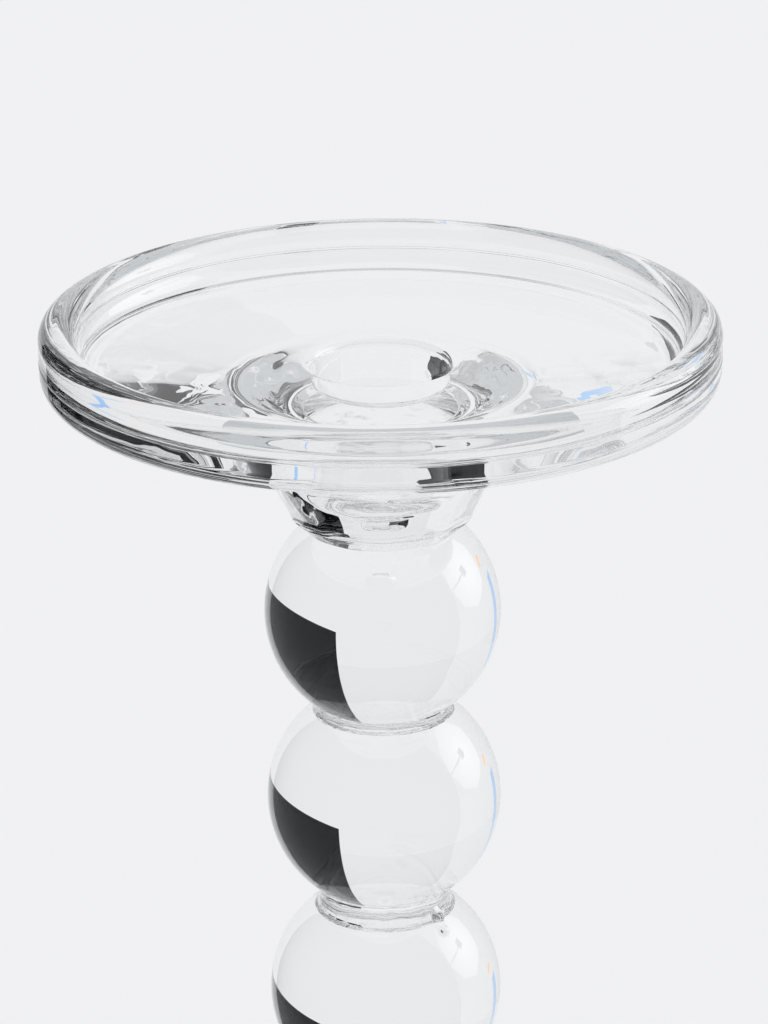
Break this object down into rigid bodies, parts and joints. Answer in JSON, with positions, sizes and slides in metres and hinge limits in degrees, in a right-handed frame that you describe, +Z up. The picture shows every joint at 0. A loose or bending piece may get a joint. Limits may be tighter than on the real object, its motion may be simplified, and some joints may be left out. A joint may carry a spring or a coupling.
{
  "type": "candlestick",
  "caption": "Clear glass candlestick: a round rimmed dish with a taper socket in its middle, on a column of solid balls over a round foot.",
  "frame": {"origin": "centre of the foot's underside, on the plane it stands on", "axes": "+Z up along the column's axis, towards the dish; X and Y are alike because the piece is round"},
  "size_m": [0.11, 0.11, 0.2299],
  "materials": {
    "clear_glass": "fire-polished clear crystal",
    "clear_bond": "glossy clear cured adhesive"
  },
  "bodies": {
    "root": {"dish": "clear_glass", "ball_1": "clear_glass", "ball_2": "clear_glass", "ball_3": "clear_glass", "ball_4": "clear_glass", "ball_5": "clear_glass", "foot": "clear_glass", "neck_joint_top": "clear_bond", "ball_joint_1": "clear_bond", "ball_joint_2": "clear_bond", "ball_joint_3": "clear_bond", "ball_joint_4": "clear_bond", "neck_joint_bottom": "clear_bond"}
  },
  "joints": []
}
